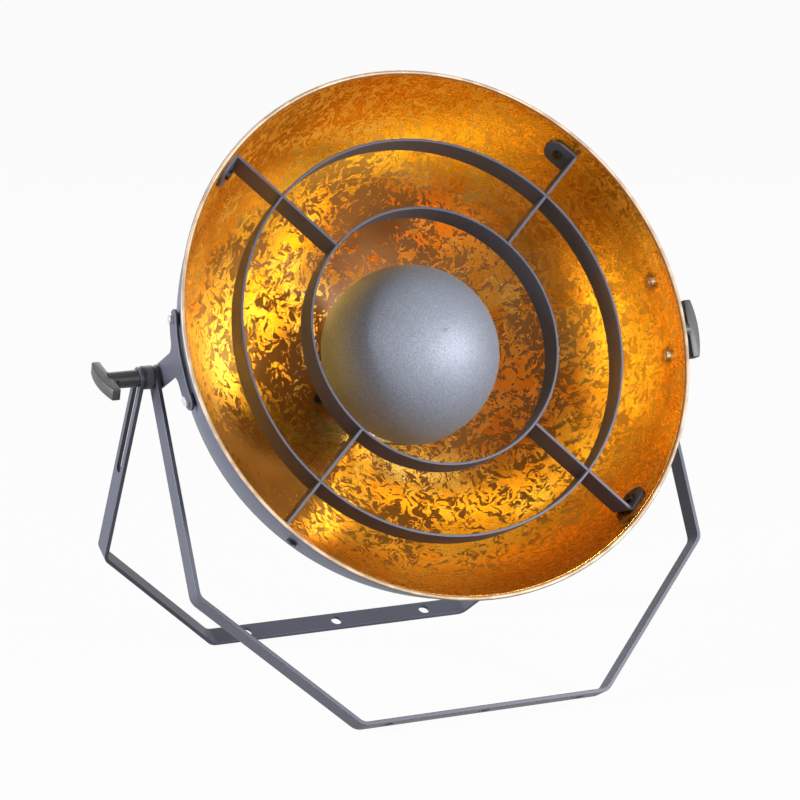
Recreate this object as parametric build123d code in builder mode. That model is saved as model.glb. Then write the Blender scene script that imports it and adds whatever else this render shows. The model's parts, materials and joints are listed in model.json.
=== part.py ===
from build123d import *
from math import acos, asin, atan, cos, degrees, hypot, radians, sin, sqrt, tan
import os

# Tabletop searchlight lamp. Millimetres, +Z up, +Y to the back, the bowl faces -Y and up.
# The origin lies on the table, in the middle of the lamp's depth. The head's own frame has
# its origin at the pivot: x to the lamp's side, y up across the bowl, z out along its axis.

# Stand: two bent flat straps on one pivot axis
STRAP_WIDTH = 16.0
STRAP_THICKNESS = 3.0
BEND_ANGLE = 45.0
BEND_RADIUS = 8.0
EDGE_ROUND = 0.4
FRONT_LEAN = 27.2
FRONT_LEG = 164.5
FRONT_BRACE_RUN = 105.5
REAR_LEG = 169.6
REAR_BRACE_RUN = 106.0
BAR_HOLE = 9.0
BAR_HOLE_PITCH = 77.0
BAR_HOLE_COUNT = 3
SLOT_TRAVEL = 85.0
SLOT_PLAY = 0.35

# Pivot stack, from the bowl outwards
YOKE_TO_RIM = 1.0
BOLT_DIAMETER = 6.0
BOLT_HEAD_FLATS = 10.0
BOLT_HEAD_HEIGHT = 4.0
BOLT_TIP_IN_KNOB = 12.0
RUNNING_FIT = 0.06
RUN_GAP = 0.15
INNER_WASHER = 1.85
THIN_WASHER = 1.0
SPACER_RING = 4.8
OUTER_WASHER = 1.9
STACK_DIAMETER = 17.0

# Wing knobs
KNOB_STEM_DIAMETER = 12.4
KNOB_STEM_LENGTH = 20.5
KNOB_WING_LENGTH = 47.0
KNOB_WING_WIDTH = 9.0
KNOB_WING_END = 6.0
KNOB_WING_CROWN = 3.4
KNOB_ROUND = 1.2
KNOB_INSERT_WALL = 1.2
LEFT_WING_ANGLE = 29.0
RIGHT_WING_ANGLE = 69.0

# Bowl
HEAD_TILT = 26.2
RIM_RADIUS = 200.0
RIM_BEAD = 3.2
RIM_AHEAD = 63.0
BOWL_DEPTH = 180.0
BOWL_SHEET = 1.2

# Curved T brackets between the bowl and the pivot
BRACKET_THICKNESS = 2.0
BRACKET_STEM_WIDTH = 18.0
BRACKET_ARM_WIDTH = 14.0
BRACKET_ARM_LENGTH = 74.0
BRACKET_STANDOFF = 2.5
BRACKET_CORNER = 7.0
BRACKET_SCREW_PITCH = 60.0
BRACKET_SPACER_DIAMETER = 10.0

# Grille of flat strap on edge
GRILLE_STRAP_WIDTH = 21.0
GRILLE_STRAP_THICKNESS = 2.0
GRILLE_BEHIND_RIM = 12.5
OUTER_RING_RADIUS = 151.0
INNER_RING_RADIUS = 98.0
SPOKE_COUNT = 4
FOOT_HOLE_ANGLE = 45.0
FOOT_REACH = 11.6
FOOT_BEND_RADIUS = 3.0
HALVING_PLAY = 0.1

# Small screws and nuts
SCREW_DIAMETER = 4.0
SCREW_HEAD_DIAMETER = 7.6
SCREW_HEAD_HEIGHT = 2.4
SCREW_HOLE_PLAY = 0.2
NUT_FLATS = 7.0
NUT_HEIGHT = 2.6
SCREW_TIP = 0.4
DRIVE_SOCKET = 2.5
DRIVE_DEPTH = 1.2

# Cap in front of the bulb, on a strap stirrup
CAP_RADIUS = 66.4
CAP_SHEET = 1.0
CAP_CENTRE_AHEAD = -0.6
CAP_SKIRT = 10.8
STIRRUP_WIDTH = 20.0
STIRRUP_THICKNESS = 2.0
STIRRUP_HALF_BASE = 37.0
STIRRUP_TONGUE = 9.0
STIRRUP_BEND = 4.0

# Lampholder on a hollow threaded nipple
NIPPLE_DIAMETER = 10.0
NIPPLE_BORE = 7.0
NIPPLE_IN_HOLDER = 9.0
NIPPLE_TAIL = 8.0
LOCKNUT_FLATS = 14.0
LOCKNUT_HEIGHT = 3.5
HOLDER_DIAMETER = 41.0
HOLDER_FOOT_DIAMETER = 30.0
HOLDER_FOOT_HEIGHT = 16.0
HOLDER_HEIGHT = 46.0
HOLDER_FLOOR = 18.0
THREAD_SHELL_WALL = 0.4
CONTACT_WIDTH = 6.0
CONTACT_THICKNESS = 0.6
CONTACT_LENGTH = 16.0

# Bulb
BULB_CAP_DIAMETER = 26.2
BULB_CAP_LENGTH = 26.0
BULB_TIP_DIAMETER = 9.0
BULB_TIP_HEIGHT = 2.0
BULB_DIAMETER = 60.0
BULB_CENTRE_UP = 72.0
BULB_NECK_DIAMETER = 27.0
BULB_GLASS = 0.8

# Rear housing and its cable gland
HOUSING_DIAMETER = 84.0
HOUSING_DEPTH = 35.0
HOUSING_WALL = 1.6
HOUSING_CORNER = 6.0
HOUSING_SCREW_PITCH = 59.0
HOUSING_BOSS_DIAMETER = 9.0
HOUSING_SCREW_GRIP = 9.0
VENT_WIDTH = 3.0
VENT_LENGTH = 16.0
VENT_COUNT = 12
VENT_BEHIND_APEX = 16.0
GLAND_HOLE = 12.0
GLAND_BORE = 7.0
GLAND_FLATS = 15.0
GLAND_COLLAR = 4.0
GLAND_BEHIND_APEX = 17.0
GLAND_NUT_HEIGHT = 9.0
GLAND_INSIDE = 7.0
GLAND_LOCKNUT_HEIGHT = 3.0
BLOCK_SIZE = (24.0, 12.0, 10.0)
BLOCK_POLES = 3
BLOCK_SCREW_DIAMETER = 3.0

# ---- places that follow from the sizes ----

half_width = STRAP_WIDTH / 2
front_inner = RIM_RADIUS + YOKE_TO_RIM
front_outer = front_inner + STRAP_THICKNESS
thin_washer_in = front_outer + RUN_GAP
spacer_in = thin_washer_in + THIN_WASHER
outer_washer_in = spacer_in + SPACER_RING
rear_inner = outer_washer_in + OUTER_WASHER + RUN_GAP
rear_outer = rear_inner + STRAP_THICKNESS
knob_in = rear_outer + RUN_GAP
bracket_outer = front_inner - INNER_WASHER - RUN_GAP
bracket_inner = bracket_outer - BRACKET_THICKNESS

front_drop = FRONT_LEG + FRONT_BRACE_RUN * tan(radians(BEND_ANGLE))
rear_drop = REAR_LEG + REAR_BRACE_RUN * tan(radians(BEND_ANGLE))
front_foot = (front_drop - EDGE_ROUND) * cos(radians(FRONT_LEAN))
pivot_height = front_foot + (half_width - EDGE_ROUND) * sin(radians(FRONT_LEAN)) + EDGE_ROUND
rear_foot = hypot(rear_drop - EDGE_ROUND, half_width - EDGE_ROUND)
rear_lean = degrees(
    acos((pivot_height - EDGE_ROUND) / rear_foot) + atan((half_width - EDGE_ROUND) / (rear_drop - EDGE_ROUND))
)

head_cos = cos(radians(HEAD_TILT))
head_sin = sin(radians(HEAD_TILT))
bead = RIM_BEAD / 2
rim_front = -(RIM_AHEAD - bead) * head_cos - (RIM_RADIUS - bead) * head_sin - bead
bar_back = rear_drop * sin(radians(rear_lean)) + half_width * cos(radians(rear_lean))
housing_back = BOWL_DEPTH - RIM_AHEAD + HOUSING_DEPTH
housing_reach = housing_back * head_cos
housing_rear = housing_reach + (HOUSING_DIAMETER / 2 - HOUSING_CORNER) * head_sin + HOUSING_CORNER * (1 - head_cos)
pivot_back = -(rim_front + max(bar_back, housing_rear)) / 2
pivot = Vector(0, pivot_back, pivot_height)

wall_at_rim = RIM_RADIUS - bead - BOWL_SHEET / 2
bowl_radius = (wall_at_rim**2 + BOWL_DEPTH**2) / (2 * BOWL_DEPTH)
bowl_inside = bowl_radius - BOWL_SHEET
bowl_centre = RIM_AHEAD - BOWL_DEPTH + bowl_radius
apex = RIM_AHEAD - BOWL_DEPTH
apex_inside = apex + BOWL_SHEET
arm_ahead = bowl_centre - sqrt(bowl_radius**2 - (bracket_inner - BRACKET_STANDOFF) ** 2)
wall_at_arm = sqrt(bowl_inside**2 - (arm_ahead - bowl_centre) ** 2)
screw_head_in = wall_at_arm - SCREW_HEAD_HEIGHT

grille_front = RIM_AHEAD - GRILLE_BEHIND_RIM
grille_back = grille_front - GRILLE_STRAP_WIDTH
grille_middle = (grille_front + grille_back) / 2

head_plane = Plane(origin=pivot, x_dir=(1, 0, 0), z_dir=(0, -head_cos, head_sin))
head_axis = Axis(origin=pivot, direction=head_plane.z_dir)
profile_plane = Plane(origin=pivot, x_dir=(1, 0, 0), z_dir=-head_plane.y_dir)
middle_plane = Plane(origin=pivot, x_dir=head_plane.y_dir, z_dir=(1, 0, 0))
pivot_plane = Plane(origin=pivot, x_dir=(0, 1, 0), z_dir=(1, 0, 0))

os.makedirs("parts", exist_ok=True)


def save(built, name):
    """Label a finished piece and write it as the node of that name."""
    built.part.label = name
    export_step(built.part, "parts/" + name + ".step")


def head_point(x, y, z):
    """A point given in the head's own frame."""
    return head_plane.from_local_coords(Vector(x, y, z))


def head_direction(x, y, z):
    """A direction given in the head's own frame."""
    return head_plane.x_dir * x + head_plane.y_dir * y + head_plane.z_dir * z


def wall_plane(angle, ahead, radius):
    """A plane tangent to a ball about the bowl's centre, x round the bowl, z outwards."""
    reach = sqrt(radius**2 - (ahead - bowl_centre) ** 2)
    across = cos(radians(angle))
    up = sin(radians(angle))
    origin = head_point(reach * across, reach * up, ahead)
    outward = head_direction(reach * across, reach * up, ahead - bowl_centre)
    return Plane(origin=origin, x_dir=head_direction(-up, across, 0), z_dir=outward)


def radial_plane(angle, ahead, radius):
    """A plane tangent to a cylinder about the bowl's axis, x round the bowl, z outwards."""
    across = cos(radians(angle))
    up = sin(radians(angle))
    origin = head_point(radius * across, radius * up, ahead)
    return Plane(origin=origin, x_dir=head_direction(-up, across, 0), z_dir=head_direction(across, up, 0))


def hexagon(flats):
    """A hexagon given by its width across flats."""
    RegularPolygon(radius=flats / 2, side_count=6, major_radius=False)


# ---- stand ----


def yoke_plane(lean):
    """The plane of a yoke that leans forward by lean degrees, its y axis up the legs."""
    return Plane(origin=pivot, x_dir=(1, 0, 0), z_dir=(0, -cos(radians(lean)), sin(radians(lean))))


def yoke_path(outer, leg, run, inset):
    """Corners of a yoke from one leg's end to the other's, inset from the outer face."""
    corner_shift = inset * tan(radians(BEND_ANGLE / 2))
    side = outer - inset
    drop = leg + run * tan(radians(BEND_ANGLE))
    right = [(side, STRAP_WIDTH), (side, -leg + corner_shift), (outer - run - corner_shift, -drop + inset)]
    return right + [(-x, y) for x, y in reversed(right)]


def build_yoke(name, outer, leg, run, lean, slot_travel, hole):
    """A flat strap bent into two legs, two braces and a bar, round at the pivot ends."""
    plane = yoke_plane(lean)
    side_plane = Plane(origin=pivot, x_dir=-plane.y_dir, z_dir=(1, 0, 0))
    drop = leg + run * tan(radians(BEND_ANGLE))
    bar_plane = Plane(origin=plane.from_local_coords(Vector(0, -drop, 0)), x_dir=(1, 0, 0), z_dir=plane.y_dir)
    with BuildPart() as yoke:
        with BuildSketch(plane):
            with BuildLine():
                outside = FilletPolyline(*yoke_path(outer, leg, run, 0), radius=BEND_RADIUS + STRAP_THICKNESS)
                inside = FilletPolyline(*yoke_path(outer, leg, run, STRAP_THICKNESS), radius=BEND_RADIUS)
                Line(outside @ 0, inside @ 0)
                Line(outside @ 1, inside @ 1)
            make_face()
        extrude(amount=half_width, both=True)
        with BuildSketch(side_plane):
            Circle(half_width)
            with Locations((drop / 2 + half_width, 0)):
                Rectangle(drop + STRAP_WIDTH, STRAP_WIDTH)
        extrude(amount=outer + 1, both=True, mode=Mode.INTERSECT)
        fillet(yoke.edges(), EDGE_ROUND)
        with BuildSketch(bar_plane):
            with GridLocations(BAR_HOLE_PITCH, 1, BAR_HOLE_COUNT, 1):
                Circle(BAR_HOLE / 2)
        extrude(amount=2 * STRAP_THICKNESS, both=True, mode=Mode.SUBTRACT)
        with BuildSketch(side_plane):
            Circle(hole / 2)
            if slot_travel:
                with Locations((slot_travel / 2, 0)):
                    SlotCenterToCenter(slot_travel, hole)
        extrude(amount=outer + 1, both=True, mode=Mode.SUBTRACT)
    save(yoke, name)


def build_stack_ring(name, start, thickness):
    """A ring on each pivot bolt, from start outwards."""
    with BuildPart() as ring:
        with BuildSketch(pivot_plane.offset(start)):
            Circle(STACK_DIAMETER / 2)
            Circle(BOLT_DIAMETER / 2 + RUNNING_FIT, mode=Mode.SUBTRACT)
        extrude(amount=thickness)
        mirror(about=Plane.YZ)
    save(ring, name)


def build_pivot_bolts():
    """A hexagon bolt through each stack, its head between the bracket and the bowl."""
    seat = sqrt(bracket_inner**2 - (BOLT_HEAD_FLATS / sqrt(3)) ** 2) - RUNNING_FIT
    with BuildPart() as bolts:
        with BuildSketch(pivot_plane.offset(seat - BOLT_HEAD_HEIGHT)):
            hexagon(BOLT_HEAD_FLATS)
        extrude(amount=BOLT_HEAD_HEIGHT)
        with BuildSketch(pivot_plane.offset(seat)):
            Circle(BOLT_DIAMETER / 2)
        extrude(amount=knob_in + BOLT_TIP_IN_KNOB - seat)
        chamfer(bolts.faces().sort_by(Axis.X)[-1].edges(), BOLT_DIAMETER / 10)
        mirror(about=Plane.YZ)
    save(bolts, "pivot_bolts")


# ---- wing knobs ----


def build_knob(side, name, wing_angle):
    """A T shaped wing knob whose crowned wing hangs wing_angle below the front."""
    reach = cos(radians(wing_angle))
    fall = sin(radians(wing_angle))
    along = Vector(0, -reach, -fall)
    outward = Vector(side, 0, 0)
    start = knob_in * side
    wing_plane = Plane(origin=(start, pivot.Y, pivot.Z), x_dir=along, z_dir=along.cross(outward))
    stem_plane = Plane(origin=(start, pivot.Y, pivot.Z), x_dir=along, z_dir=outward)
    half_length = KNOB_WING_LENGTH / 2
    wing_top = KNOB_STEM_LENGTH + KNOB_WING_END
    bore = BOLT_DIAMETER / 2 + RUNNING_FIT
    insert_depth = BOLT_TIP_IN_KNOB + BOLT_DIAMETER / 4
    with BuildPart() as knob:
        with BuildSketch(wing_plane):
            with BuildLine():
                Polyline(
                    (-half_length, wing_top),
                    (-half_length, KNOB_STEM_LENGTH),
                    (half_length, KNOB_STEM_LENGTH),
                    (half_length, wing_top),
                )
                ThreePointArc((half_length, wing_top), (0, wing_top + KNOB_WING_CROWN), (-half_length, wing_top))
            make_face()
        extrude(amount=KNOB_WING_WIDTH / 2, both=True)
        fillet(knob.edges(), KNOB_ROUND)
        with BuildSketch(stem_plane):
            Circle(KNOB_STEM_DIAMETER / 2)
        extrude(amount=KNOB_STEM_LENGTH + KNOB_WING_END / 2)
        with BuildSketch(stem_plane):
            Circle(bore + KNOB_INSERT_WALL)
        extrude(amount=insert_depth, mode=Mode.SUBTRACT)
    save(knob, "knob_" + name)
    with BuildPart() as insert:
        with BuildSketch(stem_plane):
            Circle(bore + KNOB_INSERT_WALL)
            Circle(bore, mode=Mode.SUBTRACT)
        extrude(amount=insert_depth)
    save(insert, "knob_insert_" + name)


# ---- bowl and brackets ----

bracket_screw_angle = degrees(asin(BRACKET_SCREW_PITCH / 2 / bracket_outer))
bracket_screws = [side + turn for side in (0, 180) for turn in (-bracket_screw_angle, bracket_screw_angle)]
foot_angles = [FOOT_HOLE_ANGLE + 360 / SPOKE_COUNT * index for index in range(SPOKE_COUNT)]
screw_hole = SCREW_DIAMETER / 2 + SCREW_HOLE_PLAY


def build_bowl():
    """The spun bowl with its rolled rim, drilled for every screw that goes through it."""
    nipple_hole = NIPPLE_DIAMETER / 2 + SCREW_HOLE_PLAY
    sheet_top = RIM_AHEAD - bead - bowl_centre
    with BuildPart() as bowl:
        with BuildSketch(profile_plane):
            with BuildLine():
                for radius in (bowl_radius, bowl_inside):
                    start = degrees(asin(sheet_top / radius))
                    end = -degrees(acos(nipple_hole / radius))
                    CenterArc((0, bowl_centre), radius, start, end - start)
                outside, inside = edges()
                Line(outside @ 0, inside @ 0)
                Line(outside @ 1, inside @ 1)
            make_face()
            with Locations((RIM_RADIUS - bead, RIM_AHEAD - bead)):
                Circle(bead)
        revolve(axis=head_axis)
        for angle in bracket_screws:
            with BuildSketch(radial_plane(angle, arm_ahead, bowl_radius)):
                Circle(screw_hole)
            extrude(amount=-bowl_radius / 10, mode=Mode.SUBTRACT)
        for angle in foot_angles:
            with BuildSketch(wall_plane(angle, grille_middle, bowl_radius)):
                Circle(screw_hole)
            extrude(amount=-BOWL_SHEET * 2, mode=Mode.SUBTRACT)
        with BuildSketch(head_plane.offset(apex - 1)):
            with GridLocations(HOUSING_SCREW_PITCH, 1, 2, 1):
                Circle(screw_hole)
        extrude(amount=BOWL_SHEET * 2 + HOUSING_SCREW_PITCH / 10, mode=Mode.SUBTRACT)
    save(bowl, "bowl")


def build_bracket(side, name):
    """A T plate curved round the bowl, its arm on two screws and its stem at the pivot."""
    side_plane = Plane(origin=pivot, x_dir=head_plane.z_dir, z_dir=(side, 0, 0))
    arm_back = arm_ahead - BRACKET_ARM_WIDTH / 2
    with BuildPart() as bracket:
        with BuildSketch(side_plane) as outline:
            with Locations((arm_ahead, 0)):
                SlotOverall(BRACKET_ARM_LENGTH, BRACKET_ARM_WIDTH, rotation=90)
            with Locations((arm_ahead / 2, 0)):
                Rectangle(arm_ahead, BRACKET_STEM_WIDTH)
            Circle(BRACKET_STEM_WIDTH / 2)
            corners = outline.vertices().filter_by_position(Axis.X, arm_back - 0.1, arm_back + 0.1)
            fillet(corners.filter_by_position(Axis.Y, -BRACKET_STEM_WIDTH, BRACKET_STEM_WIDTH), BRACKET_CORNER)
            Circle(BOLT_DIAMETER / 2 + RUNNING_FIT, mode=Mode.SUBTRACT)
        extrude(amount=bracket_outer + 1)
        with BuildSketch(head_plane.offset(-BRACKET_STEM_WIDTH)):
            Circle(bracket_outer)
            Circle(bracket_inner, mode=Mode.SUBTRACT)
        extrude(amount=arm_ahead + BRACKET_ARM_WIDTH + BRACKET_STEM_WIDTH, mode=Mode.INTERSECT)
        fillet(bracket.edges().filter_by(GeomType.LINE, reverse=True), EDGE_ROUND)
        for angle in bracket_screws:
            with BuildSketch(radial_plane(angle, arm_ahead, bracket_inner - 1)):
                Circle(screw_hole)
            extrude(amount=BRACKET_THICKNESS + 2, mode=Mode.SUBTRACT)
    save(bracket, "pivot_bracket_" + name)


def build_bracket_spacers():
    """A tube round each bracket screw, between the bowl and the curved plate."""
    with BuildPart() as spacers:
        for angle in bracket_screws:
            with BuildSketch(radial_plane(angle, arm_ahead, screw_head_in)):
                Circle(BRACKET_SPACER_DIAMETER / 2)
                Circle(screw_hole, mode=Mode.SUBTRACT)
            extrude(amount=bracket_outer - screw_head_in)
        with BuildSketch(head_plane.offset(arm_ahead - BRACKET_SPACER_DIAMETER)):
            Circle(bracket_inner)
        extrude(amount=2 * BRACKET_SPACER_DIAMETER, mode=Mode.INTERSECT)
        with Locations(head_point(0, 0, bowl_centre)):
            Sphere(bowl_radius, mode=Mode.SUBTRACT)
    save(spacers, "bracket_spacers")


def build_bracket_screws():
    """A round headed screw from inside the bowl through each spacer and bracket."""
    tip = bracket_outer + NUT_HEIGHT + SCREW_TIP
    with BuildPart() as screws:
        for angle in bracket_screws:
            with BuildSketch(radial_plane(angle, arm_ahead, screw_head_in)):
                Circle(SCREW_HEAD_DIAMETER / 2)
            extrude(amount=2 * SCREW_HEAD_HEIGHT)
        with Locations(head_point(0, 0, bowl_centre)):
            Sphere(bowl_inside, mode=Mode.INTERSECT)
        for angle in bracket_screws:
            head_face = radial_plane(angle, arm_ahead, screw_head_in)
            with BuildSketch(head_face):
                Circle(SCREW_DIAMETER / 2)
            extrude(amount=tip - screw_head_in)
            with BuildSketch(head_face):
                hexagon(DRIVE_SOCKET)
            extrude(amount=DRIVE_DEPTH, mode=Mode.SUBTRACT)
    save(screws, "bracket_screws")


def build_nuts(planes, name):
    """A hexagon nut on each of the given seats."""
    with BuildPart() as nuts:
        for seat in planes:
            with BuildSketch(seat):
                hexagon(NUT_FLATS)
                Circle(SCREW_DIAMETER / 2 + RUNNING_FIT, mode=Mode.SUBTRACT)
            extrude(amount=NUT_HEIGHT)
    save(nuts, name)


# ---- grille ----

ring_thickness = GRILLE_STRAP_THICKNESS
foot_lean = asin((bowl_centre - grille_middle) / bowl_inside)
foot_radius = (GRILLE_STRAP_WIDTH / 2 + ring_thickness * sin(foot_lean)) / cos(foot_lean)
foot_corner = hypot(FOOT_REACH + ring_thickness, foot_radius)
foot_sheet_out = sqrt(bowl_inside**2 - foot_corner**2) - RUNNING_FIT
foot_turn = degrees(asin(FOOT_REACH / sqrt(foot_sheet_out**2 - (grille_middle - bowl_centre) ** 2)))
spoke_angles = [angle - foot_turn for angle in foot_angles]


def web_plane(angle):
    """The upright middle plane of a spoke: x outwards, y along the bowl's axis."""
    outward = head_direction(cos(radians(angle)), sin(radians(angle)), 0)
    return Plane(origin=pivot, x_dir=outward, z_dir=outward.cross(head_plane.z_dir))


def build_ring(name, radius, notch_angles):
    """A hoop of strap on edge, notched from behind where spokes cross it."""
    with BuildPart() as ring:
        with BuildSketch(head_plane.offset(grille_back)):
            Circle(radius)
            Circle(radius - ring_thickness, mode=Mode.SUBTRACT)
        extrude(amount=GRILLE_STRAP_WIDTH)
        fillet(ring.edges().filter_by(GeomType.CIRCLE), EDGE_ROUND)
        for angle in notch_angles:
            with BuildSketch(web_plane(angle)):
                with Locations((radius, grille_back)):
                    Rectangle(4 * ring_thickness, GRILLE_STRAP_WIDTH + HALVING_PLAY)
            extrude(amount=ring_thickness / 2 + HALVING_PLAY, both=True, mode=Mode.SUBTRACT)
    save(ring, name)


def build_spoke(index):
    """A strap from the inner ring to the wall, turned round into a foot along the wall."""
    web = web_plane(spoke_angles[index])
    foot = wall_plane(foot_angles[index], grille_middle, foot_sheet_out)
    middle = (INNER_RING_RADIUS + RIM_RADIUS) / 2
    with BuildPart() as spoke:
        with BuildSketch(web):
            with Locations((middle, grille_middle)):
                Rectangle(RIM_RADIUS - INNER_RING_RADIUS, 2 * GRILLE_STRAP_WIDTH)
        extrude(amount=ring_thickness / 2, both=True)
        with BuildSketch(foot):
            Rectangle(4 * FOOT_REACH, 2 * GRILLE_STRAP_WIDTH)
        extrude(amount=-ring_thickness)
        split(bisect_by=web.offset(ring_thickness / 2), keep=Keep.BOTTOM)
        split(bisect_by=foot, keep=Keep.BOTTOM)
        corner = foot.from_local_coords(Vector(-FOOT_REACH, 0, 0))
        fillet(spoke.edges().sort_by_distance(corner)[0], FOOT_BEND_RADIUS)
        with BuildSketch(foot):
            Circle(foot_radius)
            with Locations((-2 * FOOT_REACH, 0)):
                Rectangle(4 * FOOT_REACH, 4 * GRILLE_STRAP_WIDTH)
            Circle(screw_hole, mode=Mode.SUBTRACT)
        extrude(amount=-RIM_RADIUS, mode=Mode.INTERSECT)
        with BuildSketch(head_plane.offset(grille_back)):
            Circle(RIM_RADIUS)
            Circle(INNER_RING_RADIUS, mode=Mode.SUBTRACT)
        extrude(amount=GRILLE_STRAP_WIDTH, mode=Mode.INTERSECT)
        with BuildSketch(web):
            with Locations((OUTER_RING_RADIUS - ring_thickness / 2, grille_front)):
                Rectangle(ring_thickness + 2 * HALVING_PLAY, GRILLE_STRAP_WIDTH + HALVING_PLAY)
        extrude(amount=ring_thickness, both=True, mode=Mode.SUBTRACT)
    save(spoke, "grille_spoke_" + str(index + 1))


def build_grille_screws():
    """A dark socket screw through each foot and the bowl's wall."""
    grip = ring_thickness + bowl_radius - foot_sheet_out + NUT_HEIGHT + SCREW_TIP
    with BuildPart() as screws:
        for angle in foot_angles:
            head_face = wall_plane(angle, grille_middle, foot_sheet_out).offset(-ring_thickness - SCREW_HEAD_HEIGHT)
            with BuildSketch(head_face):
                Circle(SCREW_HEAD_DIAMETER / 2)
            extrude(amount=SCREW_HEAD_HEIGHT)
            with BuildSketch(head_face):
                Circle(SCREW_DIAMETER / 2)
            extrude(amount=SCREW_HEAD_HEIGHT + grip)
            with BuildSketch(head_face):
                hexagon(DRIVE_SOCKET)
            extrude(amount=DRIVE_DEPTH, mode=Mode.SUBTRACT)
    save(screws, "grille_screws")


# ---- cap and its stirrup ----

skirt_end = CAP_CENTRE_AHEAD - CAP_SKIRT
stirrup_corner = hypot(STIRRUP_HALF_BASE, STIRRUP_WIDTH / 2)
stirrup_back = bowl_centre - sqrt(bowl_inside**2 - stirrup_corner**2) + RUNNING_FIT
stirrup_front = stirrup_back + STIRRUP_THICKNESS
cap_inside = CAP_RADIUS - CAP_SHEET


def build_cap():
    """A domed cap with a short straight skirt, open at the back."""
    with BuildPart() as cap:
        with BuildSketch(profile_plane):
            with BuildLine():
                outside = CenterArc((0, CAP_CENTRE_AHEAD), CAP_RADIUS, 0, 90)
                inside = CenterArc((0, CAP_CENTRE_AHEAD), cap_inside, 0, 90)
                Line(outside @ 1, inside @ 1)
                Polyline(inside @ 0, (cap_inside, skirt_end), (CAP_RADIUS, skirt_end), outside @ 0)
            make_face()
        revolve(axis=head_axis)
    save(cap, "cap")


def build_stirrup():
    """A strap across the bottom of the bowl whose two arms reach forward into the cap."""
    tongue_back = skirt_end - STIRRUP_BEND
    tongue_front = skirt_end + STIRRUP_TONGUE
    seat = cap_inside - STIRRUP_THICKNESS
    outer = [
        (-cap_inside, tongue_front),
        (-cap_inside, tongue_back),
        (-STIRRUP_HALF_BASE, stirrup_back),
        (STIRRUP_HALF_BASE, stirrup_back),
        (cap_inside, tongue_back),
        (cap_inside, tongue_front),
    ]
    slope = atan((cap_inside - STIRRUP_HALF_BASE) / (tongue_back - stirrup_back))
    base_shift = STIRRUP_THICKNESS * tan((radians(90) - slope) / 2)
    tongue_shift = STIRRUP_THICKNESS * tan(slope / 2)
    inner = [
        (seat, tongue_front),
        (seat, tongue_back + tongue_shift),
        (STIRRUP_HALF_BASE - base_shift, stirrup_front),
        (base_shift - STIRRUP_HALF_BASE, stirrup_front),
        (-seat, tongue_back + tongue_shift),
        (-seat, tongue_front),
    ]
    with BuildPart() as stirrup:
        with BuildSketch(middle_plane):
            with BuildLine():
                Polyline(*[(y, z) for y, z in outer + inner], close=True)
            make_face()
        extrude(amount=STIRRUP_WIDTH / 2, both=True)
        with BuildSketch(head_plane.offset(stirrup_back - 1)):
            Circle(cap_inside - RUNNING_FIT)
        extrude(amount=tongue_front - stirrup_back + 2, mode=Mode.INTERSECT)
        with BuildSketch(head_plane.offset(stirrup_back)):
            Circle(NIPPLE_DIAMETER / 2 + SCREW_HOLE_PLAY)
        extrude(amount=STIRRUP_THICKNESS, mode=Mode.SUBTRACT)
    save(stirrup, "cap_stirrup")


# ---- lampholder and bulb ----

holder_back = stirrup_front
holder_front = holder_back + HOLDER_HEIGHT
holder_floor = holder_back + HOLDER_FLOOR
shell_inside = BULB_CAP_DIAMETER / 2 + RUNNING_FIT
shell_outside = shell_inside + THREAD_SHELL_WALL
contact_top = holder_floor + 2 * CONTACT_THICKNESS
bulb_tip = contact_top + RUN_GAP
bulb_shoulder = bulb_tip + BULB_TIP_HEIGHT
bulb_cap_front = bulb_shoulder + BULB_CAP_LENGTH


def build_lampholder():
    """The insulating body of a screw lampholder on its narrower foot."""
    with BuildPart() as holder:
        with BuildSketch(head_plane.offset(holder_back)):
            Circle(HOLDER_FOOT_DIAMETER / 2)
        extrude(amount=HOLDER_FOOT_HEIGHT)
        with BuildSketch(head_plane.offset(holder_back + HOLDER_FOOT_HEIGHT)):
            Circle(HOLDER_DIAMETER / 2)
        extrude(amount=HOLDER_HEIGHT - HOLDER_FOOT_HEIGHT)
        with BuildSketch(head_plane.offset(holder_floor)):
            Circle(shell_outside)
        extrude(amount=HOLDER_HEIGHT, mode=Mode.SUBTRACT)
        with BuildSketch(head_plane.offset(holder_back)):
            Circle(NIPPLE_DIAMETER / 2 + RUNNING_FIT)
        extrude(amount=NIPPLE_IN_HOLDER, mode=Mode.SUBTRACT)
    save(holder, "lampholder_body")
    with BuildPart() as shell:
        with BuildSketch(head_plane.offset(bulb_shoulder)):
            Circle(shell_outside)
            Circle(shell_inside, mode=Mode.SUBTRACT)
        extrude(amount=holder_front - bulb_shoulder)
    save(shell, "lampholder_thread_shell")
    with BuildPart() as contact:
        with BuildSketch(head_plane.offset(holder_floor)):
            Rectangle(CONTACT_LENGTH, CONTACT_WIDTH)
        extrude(amount=CONTACT_THICKNESS)
        with BuildSketch(head_plane.offset(holder_floor + CONTACT_THICKNESS)):
            Circle(CONTACT_WIDTH / 2)
        extrude(amount=CONTACT_THICKNESS)
    save(contact, "lampholder_contact")


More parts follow.
